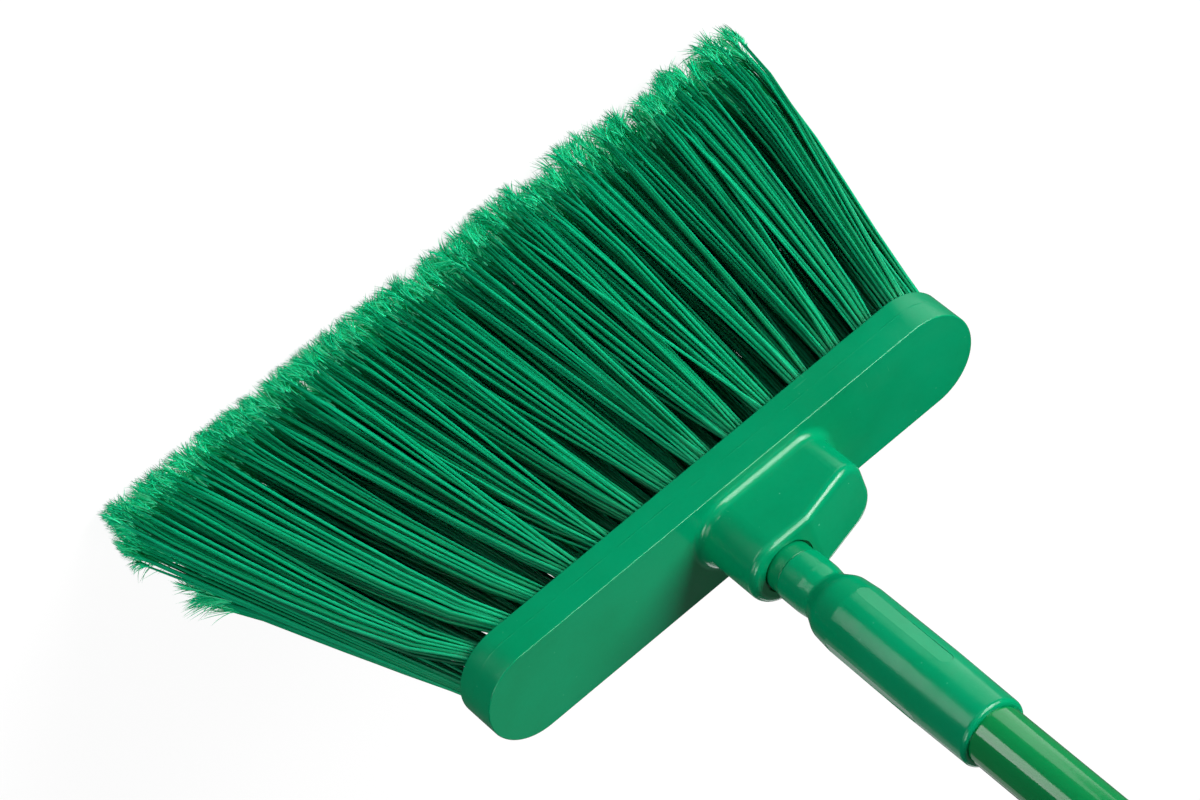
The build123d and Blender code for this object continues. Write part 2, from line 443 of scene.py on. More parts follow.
def raise_skin(sheet: NodeSheet, shader: bpy.types.Node, height: object, depth: float) -> None:
    """Feeds a height pattern to a shader's normal.

    Args:
        sheet: The material's sheet.
        shader: Its shader.
        height: The height pattern, from 0 to 1.
        depth: The height in metres that 1 stands for.
    """
    bump = sheet.add("ShaderNodeBump")
    sheet.feed_all(bump, {"Strength": 1.0, "Distance": depth, "Height": height})
    sheet.feed(shader.inputs["Normal"], bump.outputs["Normal"])


@dataclass(frozen=True)
class Wear:
    """Marks of handling: scuffs in patches, which also dull and sink the skin, and pinhead specks."""

    scuff_scale: float = 34.0
    scuff_cover: float = 0.32
    scuff_share: float = 0.3
    scuff_dulling: float = 0.22
    scuff_depth: float = 0.12
    speck_scale: float = 260.0
    speck_size: float = 0.15
    speck_share: float = 0.2

    def lay(self, shelf: EffectShelf, sheet: NodeSheet, place: Socket) -> Tuple[Socket, Socket]:
        """Lays the marks over a surface.

        Args:
            shelf: The shelf of shared effects.
            sheet: The material's sheet.
            place: The coordinates.

        Returns:
            The scuffs alone, and how strongly all the marks show.
        """
        scuffs = shelf.use(sheet, Effect.SCUFFS, place, Scale=self.scuff_scale, Cover=self.scuff_cover)
        specks = shelf.use(sheet, Effect.SPECKS, place, Scale=self.speck_scale, Size=self.speck_size)
        rubbed = sheet.times(scuffs, self.scuff_share)
        dotted = sheet.times(specks, self.speck_share)
        return scuffs, sheet.sum("MAXIMUM", rubbed, dotted)

    def dulled(self, sheet: NodeSheet, rough: Socket, scuffs: Socket) -> Socket:
        """Roughness with the scuffs' own added."""
        return sheet.sum("ADD", rough, sheet.times(scuffs, self.scuff_dulling))

    def sunk(self, sheet: NodeSheet, height: Socket, scuffs: Socket) -> Socket:
        """Height with the scuffs cut into it."""
        return sheet.sum("SUBTRACT", height, sheet.times(scuffs, self.scuff_depth))


@dataclass(frozen=True)
class MouldedPlastic:
    """Glossy moulded plastic with flow clouds, wear and a parting line."""

    name: str
    tone: Colour
    shade: Colour
    rub: Colour
    gloss: float = 0.18
    gloss_drift: Pair = (-0.05, 0.09)
    specular: float = 0.2
    cloud_scale: float = 22.0
    dull_scale: float = 48.0
    grain_scale: float = 900.0
    wave_scale: float = 70.0
    skin_depth: float = 0.00012
    wear: Wear = Wear()
    worn_from: float = 0.0
    worn_fade: float = 0.015
    sheltered_share: float = 0.2
    parting_level: Optional[float] = None
    parting_width: float = 0.00035
    parting_height: float = 0.7

    def material(self, shelf: EffectShelf) -> bpy.types.Material:
        """Makes the finish.

        Args:
            shelf: The shelf of shared effects.

        Returns:
            The new material.
        """
        material, sheet, shader, place = start_material(self.name)
        body = shelf.use(
            sheet, Effect.MOTTLE, place, Scale=self.cloud_scale, Tone=self.tone, Shade=self.shade
        )
        scuffs, marks = self.wear.lay(shelf, sheet, place)
        handled = sheet.reach(
            sheet.axes(place)[2],
            low=self.worn_from,
            high=self.worn_from + self.worn_fade,
            start=self.sheltered_share,
        )
        marks = sheet.times(marks, handled)
        sheet.feed(shader.inputs["Base Color"], sheet.blend(marks, body, self.rub))
        cloud = sheet.noise(place, self.dull_scale, detail=4.0, rough=0.6)
        shiniest, dullest = (self.gloss + drift for drift in self.gloss_drift)
        dull = sheet.reach(cloud, low=0.3, high=0.75, start=shiniest, end=dullest)
        sheet.feed(shader.inputs["Roughness"], self.wear.dulled(sheet, dull, scuffs))
        shader.inputs["Specular IOR Level"].default_value = self.specular
        skin = shelf.use(sheet, Effect.MOULD_SKIN, place, Grain=self.grain_scale, Waves=self.wave_scale)
        height = self.wear.sunk(sheet, skin, scuffs)
        if self.parting_level is not None:
            line = shelf.use(
                sheet, Effect.LEVEL_LINE, place, Level=self.parting_level, Width=self.parting_width
            )
            height = sheet.sum("ADD", height, sheet.times(line, self.parting_height))
        raise_skin(sheet, shader, height, self.skin_depth)
        return material


@dataclass(frozen=True)
class PaintedTube:
    """Glossy coat on a drawn metal tube, bare below the coat's lower edge."""

    name: str
    tone: Colour
    shade: Colour
    rub: Colour
    metal: Colour
    coat_edge: float
    wear: Wear
    gloss: float = 0.11
    gloss_drift: Pair = (-0.03, 0.05)
    specular: float = 0.36
    cloud_scale: float = 14.0
    drawn_across: float = 420.0
    drawn_along: float = 7.0
    drawn_share: float = 0.3
    drawn_height: float = 0.2
    grain_scale: float = 700.0
    wave_scale: float = 120.0
    skin_depth: float = 0.00005

    def material(self, shelf: EffectShelf) -> bpy.types.Material:
        """Makes the finish.

        Args:
            shelf: The shelf of shared effects.

        Returns:
            The new material.
        """
        material, sheet, shader, place = start_material(self.name)
        body = shelf.use(
            sheet, Effect.MOTTLE, place, Scale=self.cloud_scale, Tone=self.tone, Shade=self.shade
        )
        drawn = shelf.use(sheet, Effect.STREAKS, place, Across=self.drawn_across, Along=self.drawn_along)
        streaked = sheet.reach(drawn, low=0.35, high=0.8, end=self.drawn_share)
        scuffs, marks = self.wear.lay(shelf, sheet, place)
        coat = sheet.blend(marks, sheet.blend(streaked, body, self.shade), self.rub)
        bare = sheet.sum("LESS_THAN", sheet.axes(place)[2], self.coat_edge)
        sheet.feed(shader.inputs["Base Color"], sheet.blend(bare, coat, self.metal))
        sheet.feed(shader.inputs["Metallic"], bare)
        shiniest, dullest = (self.gloss + drift for drift in self.gloss_drift)
        dull = sheet.reach(drawn, low=0.3, high=0.8, start=shiniest, end=dullest)
        sheet.feed(shader.inputs["Roughness"], self.wear.dulled(sheet, dull, scuffs))
        shader.inputs["Specular IOR Level"].default_value = self.specular
        skin = shelf.use(sheet, Effect.MOULD_SKIN, place, Grain=self.grain_scale, Waves=self.wave_scale)
        ridges = sheet.times(drawn, self.drawn_height)
        height = sheet.sum("ADD", sheet.times(skin, 1 - self.drawn_height), ridges)
        raise_skin(sheet, shader, self.wear.sunk(sheet, height, scuffs), self.skin_depth)
        return material


@dataclass(frozen=True)
class BristleFibre:
    """Extruded bristle: drawn streaks along it, split tips with a paler colour and a painted glow that
    stands in for the light they pass, and painted shade inside the rows and near the roots.
    """

    name: str
    tone: Colour
    shade: Colour
    light: Colour
    # painted shade colour, towards which filaments inside the rows are darkened
    painted_shade_colour: Colour
    flag: Colour
    # colour of the painted glow on the palest split tips
    painted_glow_pale: Colour
    gloss: float = 0.4
    gloss_drift: Pair = (-0.08, 0.12)
    flag_dulling: float = 0.2
    specular: float = 0.12
    # strength of the painted glow on the split tips
    glow: float = 0.23
    drawn_across: float = 90.0
    drawn_along: float = 11.0

    def material(self, shelf: EffectShelf) -> bpy.types.Material:
        """Makes the finish, which reads each filament's tone, way, flag and depth from its mesh; depth
        sets its painted shade, and flag its tip colour and painted glow.

        Args:
            shelf: The shelf of shared effects.

        Returns:
            The new material.
        """
        material, sheet, shader, _ = start_material(self.name)
        tone, way, flag, depth = (
            sheet.add("ShaderNodeAttribute", attribute_name=label).outputs["Fac"]
            for label in ("tone", "way", "flag", "depth")
        )
        along = sheet.add("ShaderNodeCombineXYZ")
        sheet.feed_all(along, {"X": tone, "Z": way})
        drawn = shelf.use(
            sheet, Effect.STREAKS, along.outputs[0], Across=self.drawn_across, Along=self.drawn_along
        )
        body = sheet.blend(sheet.reach(tone, low=0.0, high=0.6), self.shade, self.tone)
        body = sheet.blend(sheet.reach(tone, low=0.55, high=1.0, end=0.8), body, self.light)
        body = sheet.blend(sheet.reach(drawn, low=0.35, high=0.75, start=0.2, end=0.0), body, self.shade)
        # painted shade near the block: filaments darken towards their roots
        body = sheet.blend(sheet.reach(way, low=0.0, high=0.25, start=0.25, end=0.0), body, self.shade)
        # painted shade inside the rows, set by the depth attribute
        body = sheet.blend(depth, body, self.painted_shade_colour)
        sheet.feed(shader.inputs["Base Color"], sheet.blend(flag, body, self.flag))
        # painted glow: split tips emit the flag colour, and the palest of them a paler one
        painted_tip_glow = sheet.blend(sheet.reach(flag, low=0.2, high=0.7), BLACK, self.flag)
        painted_tip_glow = sheet.blend(sheet.reach(flag, low=0.65, high=1.0), painted_tip_glow, self.painted_glow_pale)
        sheet.feed(shader.inputs["Emission Color"], painted_tip_glow)
        shader.inputs["Emission Strength"].default_value = self.glow
        shiniest, dullest = (self.gloss + drift for drift in self.gloss_drift)
        dull = sheet.reach(drawn, low=0.3, high=0.8, start=shiniest, end=dullest)
        frayed = sheet.times(flag, self.flag_dulling)
        sheet.feed(shader.inputs["Roughness"], sheet.sum("ADD", dull, frayed))
        shader.inputs["Specular IOR Level"].default_value = self.specular
        return material


@dataclass(frozen=True)
class StapleWire:
    """Flat drawn wire, dulled by the press."""

    name: str
    tone: Colour
    shade: Colour
    gloss: Pair = (0.28, 0.5)
    cloud_scale: float = 160.0
    drawn_across: float = 300.0
    drawn_along: float = 1500.0
    drawn_depth: float = 0.00003

    def material(self, shelf: EffectShelf) -> bpy.types.Material:
        """Makes the finish.

        Args:
            shelf: The shelf of shared effects.

        Returns:
            The new material.
        """
        material, sheet, shader, place = start_material(self.name)
        body = shelf.use(
            sheet, Effect.MOTTLE, place, Scale=self.cloud_scale, Tone=self.tone, Shade=self.shade
        )
        drawn = shelf.use(sheet, Effect.STREAKS, place, Across=self.drawn_across, Along=self.drawn_along)
        shiniest, dullest = self.gloss
        dull = sheet.reach(drawn, low=0.3, high=0.8, start=shiniest, end=dullest)
        sheet.feed_all(shader, {"Base Color": body, "Roughness": dull, "Metallic": 1.0})
        raise_skin(sheet, shader, drawn, self.drawn_depth)
        return material


def dress(node: str, material: bpy.types.Material) -> None:
    """Puts a material on a CAD node.

    Args:
        node: The node's name.
        material: The material for all of it.
    """
    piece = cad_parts[node]
    if not piece.material_slots:
        piece.data.materials.append(material)
    for slot in piece.material_slots:
        slot.material = material
    log.info("%s dressed in %s", node, material.name)


class Row(Enum):
    """The three rows of tufts."""

    FRONT = ("front", -1, 14, 30)
    MIDDLE = ("middle", 0, 15, 52)
    BACK = ("back", 1, 14, 48)

    def __init__(self, label: str, side: int, tufts: int, filaments: int) -> None:
        """Names a row's values.

        Args:
            label: The row's part of its tufts' names.
            side: Its side of the block's middle: -1 in front, 1 behind.
            tufts: How many tufts it has.
            filaments: How many filaments each of them has.
        """
        self.label = label
        self.side = side
        self.tufts = tufts
        self.filaments = filaments


@dataclass(frozen=True)
class TuftSpot:
    """Where one tuft stands: its row, and its number in the row from the -X end."""

    row: Row
    index: int

    @property
    def place(self) -> float:
        """How many tufts it stands from the middle of its row, towards +X."""
        return self.index - (self.row.tufts - 1) / 2

    @property
    def along(self) -> float:
        """Its place along the row, from -1 to 1."""
        return 2 * self.place / (self.row.tufts - 1)

    @property
    def outermost(self) -> bool:
        """Whether it ends its row."""
        return abs(self.place) > self.row.tufts / 2 - 1


@dataclass
class Stock:
    """One modelled shape, ready to be copied along paths."""

    points: np.ndarray
    faces: List[List[int]]


@dataclass
class FilamentPaths:
    """Paths of one bundle: straight runs with a low bow and a swing of the tip, from roots to ends.

    A flare of 1 is a straight fan. With less, the bundle spreads out sooner.
    """

    roots: np.ndarray
    ends: np.ndarray
    bows: np.ndarray
    swings: np.ndarray
    flare: float = 1.0
    swing_from: ClassVar[float] = 0.85
    swing_span: ClassVar[float] = 0.15
    probe: ClassVar[float] = 0.01

    def picked(self, owner: np.ndarray) -> "FilamentPaths":
        """Picks paths by number, each as often as its number is given.

        Args:
            owner: The numbers of the paths to pick.

        Returns:
            The picked paths.
        """
        return FilamentPaths(
            self.roots[owner], self.ends[owner], self.bows[owner], self.swings[owner], self.flare
        )

    def lengths(self) -> np.ndarray:
        """The paths' lengths, from root to end."""
        return np.linalg.norm(self.ends - self.roots, axis=-1)

    def at(self, way: np.ndarray) -> np.ndarray:
        """Points along the paths.

        Args:
            way: How far along each path, one row for a path, 0 at the block and 1 at its end.

        Returns:
            Points, with one row for a path.
        """
        run = (self.ends - self.roots)[:, None, :]
        ahead = np.clip(way, 0, None)[..., None]
        fan = np.array([1.0, 1.0, 0.0]) * (ahead**self.flare - ahead)
        bow = self.bows[:, None, :] * np.sin(np.pi * np.clip(way, 0, 1) ** 2)[..., None]
        near_tip = (np.clip(way - self.swing_from, 0, None) / self.swing_span)[..., None]
        swing = self.swings[:, None, :] * near_tip**2
        return self.roots[:, None, :] + run * way[..., None] + run * fan + bow + swing

    def ahead(self, way: np.ndarray) -> np.ndarray:
        """Unit directions along the paths, at the same places as at()."""
        step = self.at(way + self.probe) - self.at(way - self.probe)
        return step / np.linalg.norm(step, axis=-1, keepdims=True)


def square_off(ahead: np.ndarray) -> Tuple[np.ndarray, np.ndarray]:
    """Finds two unit directions at right angles to each given one.

    Args:
        ahead: Unit directions, none of them along X.

    Returns:
        The direction nearest to +X for each, and the one at right angles to both.
    """
    side = np.array([1.0, 0.0, 0.0]) - ahead * ahead[..., :1]
    side /= np.linalg.norm(side, axis=-1, keepdims=True)
    return side, np.cross(ahead, side)


@dataclass(frozen=True)
class BundleLay:
    """How a tuft's filaments gather in clumps, spread, bow and end.

    Lengths are in metres. The pair of a shift is along X and along Y, and other pairs are ranges.
    Inner values are the middle row's. Left is +X and right is -X, as the camera sees them.
    """

    clumps: int = 7
    clump_room: float = 0.8
    clump_pull: Pair = (0.15, 0.55)
    clump_shift: Pair = (0.0026, 0.0018)
    inner_looseness: float = 0.3
    strand_shift: float = 0.0009
    stray_share: float = 0.22
    stray_shift: Pair = (0.009, 0.003)
    shift_depth: float = 0.6
    squaring_limit: float = 0.3
    tip_width: float = 0.62
    side_tip_depth: float = 0.46
    inner_tip_depth: float = 0.66
    end_tip_depth: float = 1.15
    scallop: float = 0.0036
    clump_cut: float = 0.0018
    strand_cut: float = 0.0009
    tuft_cut: float = -0.0066
    tuft_cut_drift: float = 0.0016
    clump_bow: float = 0.0012
    strand_bow: float = 0.0005
    end_bow_share: float = 0.25
    right_bow: float = 0.0042
    tip_swing: float = 0.0012
    flare: Pair = (0.8, 0.9)
    left_flare: float = 0.13
    end_flare: float = 0.1


@dataclass(frozen=True)
class WornCorner:
    """The back row's tuft at the +X end, with its outer filaments worn short and swung outwards."""

    loss: Pair = (0.018, 0.036)
    rear_weight: float = 1.7
    uneven: float = 0.005
    tuck: float = 0.003
    swing_x: float = 0.1
    swing_y: float = 0.05


@dataclass(frozen=True)
class Flagging:
    """How a filament's tip splits into hairs that curl, splay and pale, and how the rod runs into them.
    How pale a hair is sets its colour and its painted glow.
    """

    hairs: int = 26
    hair_radius: float = 0.00025
    hair_thickness: Pair = (0.75, 1.3)
    hair_taper: float = 0.6
    hair_painted_shade: float = 0.3
    length: float = 0.013
    start: Pair = (0.7, 1.25)
    reach: Pair = (0.88, 1.12)
    shortest: float = 0.02
    foot_out: float = 0.5
    curl: float = 0.22
    least_splay: float = 0.04
    splay: float = 0.18
    hooked_share: float = 0.18
    hook: Pair = (0.25, 0.6)
    bend: float = 1.6
    drop_loss: float = 0.25
    least_pale: float = 0.1
    pale_skew: float = 1.8
    pale_gain: float = 0.35
    rod_stop: float = 0.6
    rod_thinning: float = 0.45
    rod_thinning_way: float = 0.06
    rod_pale: float = 0.2
    rod_pale_from: float = 0.86
    rod_pale_way: float = 0.09


@dataclass(frozen=True)
class PaintedRowShade:
    """Painted shade: how dark filaments are painted by how far inside the rows they stand: 0 at the
    outside, 1 in the middle.
    """

    inside: Tuple[float, ...] = (0.05, 0.45, 0.72, 1.0)
    darkness: Tuple[float, ...] = (0.0, 0.68, 0.18, 0.72)
    drift: float = 0.06


@dataclass
class BristleRows:
    """Three staggered rows of tufts, each a bundle of filaments with flagged tips."""

    finish: BristleFibre
    lay: BundleLay = BundleLay()
    corner: WornCorner = WornCorner()
    flagging: Flagging = Flagging()
    shade: PaintedRowShade = PaintedRowShade()
    underside: float = 0.176
    root_x: float = -0.007
    tuft_pitch: float = 0.0165
    row_spacing: float = 0.013
    bundle_radius: float = 0.0042
    fan_half: float = 0.1645
    tip_reach: float = 0.1515
    tip_row_spacing: float = 0.0172
    trim_angle: float = math.radians(2.5)
    trim_drop: float = 0.0005
    filament_radius: float = 0.00066
    radius_drift: float = 0.07
    place_drift: float = 0.035
    embed: float = 0.006
    side_room: float = 0.0009
    tip_gap: float = 0.0004
    skin_gap: float = 0.0001
    seed: int = 12

    def __post_init__(self) -> None:
        """Starts the one seeded source of chance."""
        self.chance = np.random.default_rng(self.seed)

    def model_stock(self, name: str, sides: int, cuts: int, taper: float) -> Stock:
        """Models one straight rod of unit length and radius along +Z, cut into rings.

        Args:
            name: The name to model it under.
            sides: How many sides it has.
            cuts: How many rings are cut between its ends.
            taper: Its far end's share of its foot's radius.

        Returns:
            The rod's points and faces.
        """
        half = 0.5
        bpy.ops.object.select_all(action="DESELECT")
        bpy.ops.mesh.primitive_cone_add(
            vertices=sides, radius1=1.0, radius2=taper, depth=1.0, location=(0, 0, half)
        )
        rod = bpy.context.object
        rod.name = name
        bpy.ops.object.transform_apply(location=True, rotation=True, scale=True)
        bpy.ops.object.mode_set(mode="EDIT")
        bpy.ops.mesh.select_mode(type="EDGE")
        bpy.ops.mesh.select_all(action="DESELECT")
        bpy.ops.object.mode_set(mode="OBJECT")
        points = rod.data.vertices
        for edge in rod.data.edges:
            low, high = (points[i].co.z for i in edge.vertices)
            edge.select = abs(high - low) > half
        bpy.ops.object.mode_set(mode="EDIT")
        bpy.ops.mesh.subdivide(number_cuts=cuts)
        bpy.ops.mesh.select_all(action="SELECT")
        bpy.ops.mesh.remove_doubles(threshold=0.0001)
        bpy.ops.mesh.normals_make_consistent(inside=False)
        bpy.ops.object.mode_set(mode="OBJECT")
        stock = Stock(
            np.array([v.co for v in rod.data.vertices]),
            [list(face.vertices) for face in rod.data.polygons],
        )
        bpy.data.objects.remove(rod, do_unlink=True)
        return stock

    def spread(self, count: int) -> np.ndarray:
        """Even places over a unit disc, slightly shaken.

        Args:
            count: How many places.

        Returns:
            The places, one to a row.
        """
        index = np.arange(count)
        out = np.sqrt((index + 0.5) / count)
        golden = 3 - math.sqrt(5)
        turn = index * math.pi * golden + self.chance.uniform(0, 2 * math.pi)
        places = np.stack([out * np.cos(turn), out * np.sin(turn)], -1)
        return places + self.chance.normal(0, self.place_drift, places.shape)

    def depth(self, roots: np.ndarray) -> np.ndarray:
        """Gives each filament's painted shade, by how far inside the rows it stands.

        Args:
            roots: The filaments' roots.

        Returns:
            For each filament, from 0 in the light to 1 in the dark.
        """
        last = (Row.MIDDLE.tufts - 1) / 2
        from_end = last * self.tuft_pitch - np.abs(roots[:, 0] - self.root_x)
        from_side = self.row_spacing - np.abs(roots[:, 1])
        within = np.minimum(from_end, from_side) + self.bundle_radius
        inside = within / (self.row_spacing + self.bundle_radius)
        inside += self.chance.normal(0, self.shade.drift, len(roots))
        return np.interp(inside, self.shade.inside, self.shade.darkness)

    def lay_paths(self, spot: TuftSpot) -> FilamentPaths:
        """Lays one tuft's filaments, in clumps that part towards the tips.

        Args:
            spot: Where the tuft stands.

        Returns:
            The filaments' paths.
        """
        lay, row = self.lay, spot.row
        disc = self.spread(row.filaments)
        centres = self.spread(lay.clumps) * lay.clump_room
        clump = np.argmin(np.linalg.norm(disc[:, None] - centres[None], axis=-1), axis=1)
        loose = 1.0 if row.side else lay.inner_looseness
        pull = self.chance.uniform(*lay.clump_pull, lay.clumps)[clump] * loose
        tips = disc + (centres[clump] - disc) * pull[:, None]
        roots = np.zeros((row.filaments, 3))
        roots[:, 0] = self.root_x + spot.place * self.tuft_pitch + disc[:, 0] * self.bundle_radius
        roots[:, 1] = row.side * self.row_spacing + disc[:, 1] * self.bundle_radius
        roots[:, 2] = self.underside
        ends = self.lay_ends(spot, tips, clump, loose)
        bows, swings = self.bend(spot, clump, loose)
        paths = FilamentPaths(roots, ends, bows, swings)
        if spot.outermost and row.side > 0 and spot.place > 0:
            self.wear_down(paths, disc)
        paths.flare = self.flare(spot)
        return paths

    def lay_ends(self, spot: TuftSpot, tips: np.ndarray, clump: np.ndarray, loose: float) -> np.ndarray:
        """Places the filaments' ends: spread from round to square, shifted, kept in the box and cut.

        Args:
            spot: Where the tuft stands.
            tips: The tips' places on the bundle's disc, after the clumps' pull.
            clump: Each filament's clump.
            loose: How far the clumps may shift, 1 in the outer rows.

        Returns:
            The ends, one to a row.
        """
        lay, row, chance = self.lay, spot.row, self.chance
        shift = chance.normal(0, lay.clump_shift, (lay.clumps, 2))[clump] * loose
        stray = chance.random(row.filaments) < (0.0 if spot.outermost else lay.stray_share * loose)
        shift = shift + chance.normal(0, lay.strand_shift, tips.shape)
        shift[stray] += chance.normal(0, lay.stray_shift, (int(stray.sum()), 2))
        squared = tips[:, 0] / np.sqrt(np.maximum(1 - tips[:, 1] ** 2, lay.squaring_limit))
        pitch = 2 * self.tip_reach / (row.tufts - 1)
        across = lay.side_tip_depth if row.side else lay.inner_tip_depth
        across *= lay.end_tip_depth if spot.outermost else 1.0
        ends = np.zeros((row.filaments, 3))
        ends[:, 0] = spot.place * pitch + squared * pitch * lay.tip_width + shift[:, 0]
        ends[:, 1] = (row.side + tips[:, 1] * across) * self.tip_row_spacing
        ends[:, 1] += shift[:, 1] * lay.shift_depth
        for axis in (0, 1):
            room = chance.uniform(self.side_room, 2 * self.side_room, row.filaments)
            ends[:, axis] = np.clip(ends[:, axis], box_low[axis] + room, box_high[axis] - room)
        ends[:, 2] = self.trim(ends[:, 0], tips, clump)
        return ends

    def trim(self, x: np.ndarray, tips: np.ndarray, clump: np.ndarray) -> np.ndarray:
        """Cuts the filaments to the slanted trim, scalloped over the tuft and uneven.

        Args:
            x: The ends' places along X.
            tips: The tips' places on the bundle's disc.
            clump: Each filament's clump.

        Returns:
            The ends' heights.
        """
        lay, chance = self.lay, self.chance
        slant = (self.fan_half - x) * math.tan(self.trim_angle) - self.trim_drop
        scallop = lay.scallop * np.sum(tips**2, axis=-1)
        uneven = chance.normal(0, lay.clump_cut, lay.clumps)[clump]
        uneven = uneven + chance.normal(0, lay.strand_cut, len(tips))
        tuft_cut = chance.normal(lay.tuft_cut, lay.tuft_cut_drift)
        return np.maximum(slant + scallop + uneven + tuft_cut, self.tip_gap)

    def bend(self, spot: TuftSpot, clump: np.ndarray, loose: float) -> Tuple[np.ndarray, np.ndarray]:
        """Bends the filaments, more towards the -X end, where they bow outwards.

        Args:
            spot: Where the tuft stands.
            clump: Each filament's clump.
            loose: How far the clumps may bow, 1 in the outer rows.

        Returns:
            The bows of the runs and the swings of the tips, one of each to a row.
        """
        lay, chance, count = self.lay, self.chance, spot.row.filaments
        bows = np.zeros((count, 3))
        bows[:, :2] = chance.normal(0, lay.clump_bow, (lay.clumps, 2))[clump] * loose
        bows[:, :2] += chance.normal(0, lay.strand_bow, (count, 2))
        bows[:, :2] *= lay.end_bow_share if spot.outermost else 1.0
        bows[:, 0] -= lay.right_bow * max(-spot.along, 0) ** 3
        swings = np.zeros((count, 3))
        swings[:, :2] = chance.normal(0, lay.tip_swing, (count, 2))
        return bows, swings

    def wear_down(self, paths: FilamentPaths, disc: np.ndarray) -> None:
        """Wears the corner tuft's outer filaments short and swings them outwards.

        Args:
            paths: The tuft's paths, which are changed.
            disc: The filaments' places on the bundle's disc.
        """
        corner, chance, count = self.corner, self.chance, len(disc)
        outer = disc[:, 0] + corner.rear_weight * disc[:, 1] > 0.0
        worn = chance.uniform(*corner.loss, count) * outer
        worn += np.abs(chance.normal(0, corner.uneven, count))
        paths.ends[:, 1] -= corner.tuck
        paths.ends += (paths.roots - paths.ends) * (worn / self.underside)[:, None]
        paths.swings[:, 0] += worn * corner.swing_x
        paths.swings[:, 1] += worn * corner.swing_y

    def flare(self, spot: TuftSpot) -> float:
        """Picks how a tuft fans out: sooner in the front row's +X half, and later at the other ends.

        Args:
            spot: Where the tuft stands.

        Returns:
            The flare for its paths.
        """
        leftward = max(spot.along, 0) if spot.row.side < 0 else 0.0
        flare = self.chance.uniform(*self.lay.flare) - self.lay.left_flare * leftward
        return flare + (self.lay.end_flare if spot.outermost and not leftward else 0.0)

    def wrap(
        self, stock: Stock, centres: np.ndarray, ahead: np.ndarray, radius: np.ndarray
    ) -> np.ndarray:
        """Wraps a rod's points round paths.

        Args:
            stock: The rod.
            centres: The path's point at each of the rod's points.
            ahead: The path's direction there.
            radius: The radius there.

        Returns:
            The points of every copy.
        """
        side, over = square_off(ahead)
        turn = self.chance.uniform(0, 2 * math.pi, centres.shape[0])[:, None]
        x, y = stock.points[:, 0][None], stock.points[:, 1][None]
        out = np.hypot(x, y)
        on_rim = out > TINY
        unit = np.where(on_rim, out, 1.0)
        across = (x * np.cos(turn) - y * np.sin(turn)) / unit * on_rim
        up = (x * np.sin(turn) + y * np.cos(turn)) / unit * on_rim
        return centres + radius[..., None] * (across[..., None] * side + up[..., None] * over)

    def rods(self, stock: Stock, paths: FilamentPaths) -> Tuple[np.ndarray, np.ndarray]:
        """Copies the filament along each path, up into its split tip.

        Args:
            stock: The modelled filament.
            paths: The bundle's paths.

        Returns:
            The points of each copy, and the way along its path of each point.
        """
        tip = self.flagging
        length = paths.lengths()[:, None]
        foot = -self.embed / length
        stop = 1 - tip.length * tip.rod_stop / length
        way = foot + stock.points[:, 2][None] * (stop - foot)
        size = self.chance.normal(1.0, self.radius_drift, length.shape)
        near_stop = np.clip((way - stop + tip.rod_thinning_way) / tip.rod_thinning_way, 0, 1)
        radius = self.filament_radius * size * (1 - tip.rod_thinning * near_stop)
        return self.wrap(stock, paths.at(way), paths.ahead(way), radius), way

    def flags(self, stock: Stock, paths: FilamentPaths) -> np.ndarray:
        """Splits each filament's tip into fine splayed hairs.

        Args:
            stock: The modelled hair.
            paths: The bundle's paths.

        Returns:
            The points of each hair.
        """
        tip, chance = self.flagging, self.chance
        filaments = len(paths.roots)
        owner = np.repeat(np.arange(filaments), tip.hairs)
        count = len(owner)
        picked = paths.picked(owner)
        length = picked.lengths()
        start = 1 - tip.length * chance.uniform(*tip.start, count) / length
        foot = picked.at(start[:, None])[:, 0]
        ahead = picked.ahead(start[:, None])[:, 0]
        reach = (1 - start) * length * chance.uniform(*tip.reach, count)
        heading = chance.uniform(0, 2 * math.pi, count)
        curl = chance.normal(0, tip.curl, (filaments, 2))[owner]
        splay = np.abs(chance.normal(0, tip.splay, count)) + tip.least_splay
        hooked = chance.random(count) < tip.hooked_share
        splay[hooked] += chance.uniform(*tip.hook, int(hooked.sum()))
        side, over = square_off(ahead)
        away = np.cos(heading)[:, None] * side + np.sin(heading)[:, None] * over
        lean = curl[:, :1] * side + curl[:, 1:] * over
        foot = foot + away * self.filament_radius * tip.foot_out
        along = stock.points[:, 2][None]
        swing = (reach * splay)[:, None] * along**tip.bend
        drop = (reach[:, None] * along) * (1 - tip.drop_loss * (splay[:, None] * along) ** 2)
        centres = foot[:, None] + ahead[:, None] * drop[..., None] + away[:, None] * swing[..., None]
        centres += lean[:, None] * (reach[:, None] * along**2)[..., None]
        slope = tip.bend * splay[:, None] * along ** (tip.bend - 1)
        heads = ahead[:, None] + away[:, None] * slope[..., None] + lean[:, None] * (2 * along)[..., None]
        heads /= np.linalg.norm(heads, axis=-1, keepdims=True)
        thickness = tip.hair_radius * chance.uniform(*tip.hair_thickness, count)[:, None]
        radius = thickness * (1 - tip.hair_taper * along)
        return self.wrap(stock, self.keep_inside(foot, centres), heads, radius)

    def keep_inside(self, foot: np.ndarray, centres: np.ndarray) -> np.ndarray:
        """Shortens the hairs that would pass the broom's own box.

        Args:
            foot: Where each hair starts.
            centres: The points along each hair.

        Returns:
            The points along each hair, all inside the box.
        """
        start = foot[:, None]
        step = centres - start
        ahead = np.where(step > 0, box_high - self.tip_gap - start, start - box_low - self.tip_gap)
        share = np.clip(ahead / np.maximum(np.abs(step), TINY), self.flagging.shortest, 1)
        return start + step * share.min(axis=(1, 2))[:, None, None]

